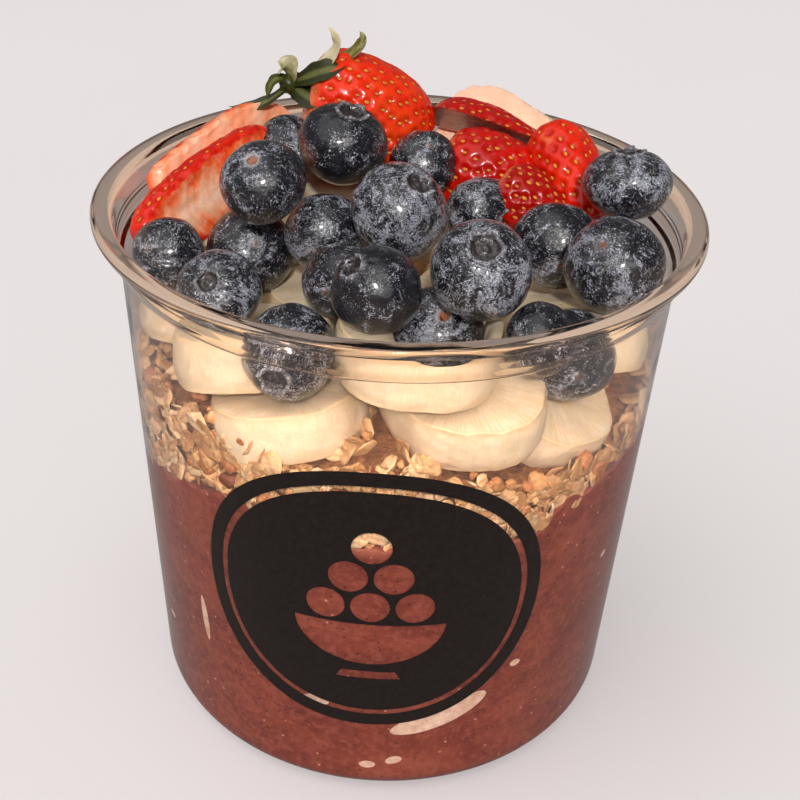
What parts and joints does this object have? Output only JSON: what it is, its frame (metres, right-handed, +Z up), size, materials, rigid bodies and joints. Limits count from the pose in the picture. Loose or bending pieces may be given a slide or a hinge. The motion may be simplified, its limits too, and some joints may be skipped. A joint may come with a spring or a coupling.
{
  "type": "acai bowl in a clear cup",
  "caption": "Acai bowl in a round clear plastic cup: acai puree, granola and banana slices against the wall, with strawberry pieces and blueberries heaped on top.",
  "frame": {"origin": "centre of the cup's flat underside", "axes": "+Z up out of the cup's mouth; -Y towards the front with the printed badge; +X to the right seen from the front"},
  "size_m": [0.1174, 0.1174, 0.1331],
  "materials": {
    "cup_plastic": "clear, slightly warm",
    "cup_print": "flat dark ink",
    "acai": "moist puree with fine flecks",
    "granola": "rough toasted oats",
    "banana_flesh": "moist, satin",
    "blueberry_skin": "dark skin with grey bloom",
    "strawberry_skin": "wet red skin with seeds",
    "strawberry_flesh": "wet pale flesh",
    "leaf": "satin"
  },
  "bodies": {
    "root": {"acai": "acai", "banana_slice_01": "banana_flesh", "banana_slice_02": "banana_flesh", "banana_slice_03": "banana_flesh", "banana_slice_04": "banana_flesh", "banana_slice_05": "banana_flesh", "banana_slice_06": "banana_flesh", "banana_slice_07": "banana_flesh", "banana_slice_08": "banana_flesh", "banana_slice_09": "banana_flesh", "banana_slice_10": "banana_flesh", "banana_slice_11": "banana_flesh", "banana_slice_12": "banana_flesh", "banana_slice_13": "banana_flesh", "banana_slice_14": "banana_flesh", "banana_slice_15": "banana_flesh", "banana_slice_16": "banana_flesh", "blueberry_01": "blueberry_skin", "blueberry_02": "blueberry_skin", "blueberry_03": "blueberry_skin", "blueberry_04": "blueberry_skin", "blueberry_05": "blueberry_skin", "blueberry_06": "blueberry_skin", "blueberry_07": "blueberry_skin", "blueberry_08": "blueberry_skin", "blueberry_09": "blueberry_skin", "blueberry_10": "blueberry_skin", "blueberry_11": "blueberry_skin", "blueberry_12": "blueberry_skin", "blueberry_13": "blueberry_skin", "blueberry_14": "blueberry_skin", "blueberry_15": "blueberry_skin", "blueberry_16": "blueberry_skin", "blueberry_17": "blueberry_skin", "blueberry_18": "blueberry_skin", "blueberry_19": "blueberry_skin", "blueberry_20": "blueberry_skin", "blueberry_21": "blueberry_skin", "cup": "cup_plastic", "granola": "granola", "strawberry_leaves": "leaf", "strawberry_slice_back": "strawberry_skin", "strawberry_slice_left": "strawberry_flesh", "strawberry_slice_mid": "strawberry_skin", "strawberry_slice_pale": "strawberry_flesh", "strawberry_slice_right": "strawberry_skin", "strawberry_slice_rim": "strawberry_flesh", "strawberry_slice_tip": "strawberry_skin", "strawberry_whole": "strawberry_skin"}
  },
  "joints": []
}
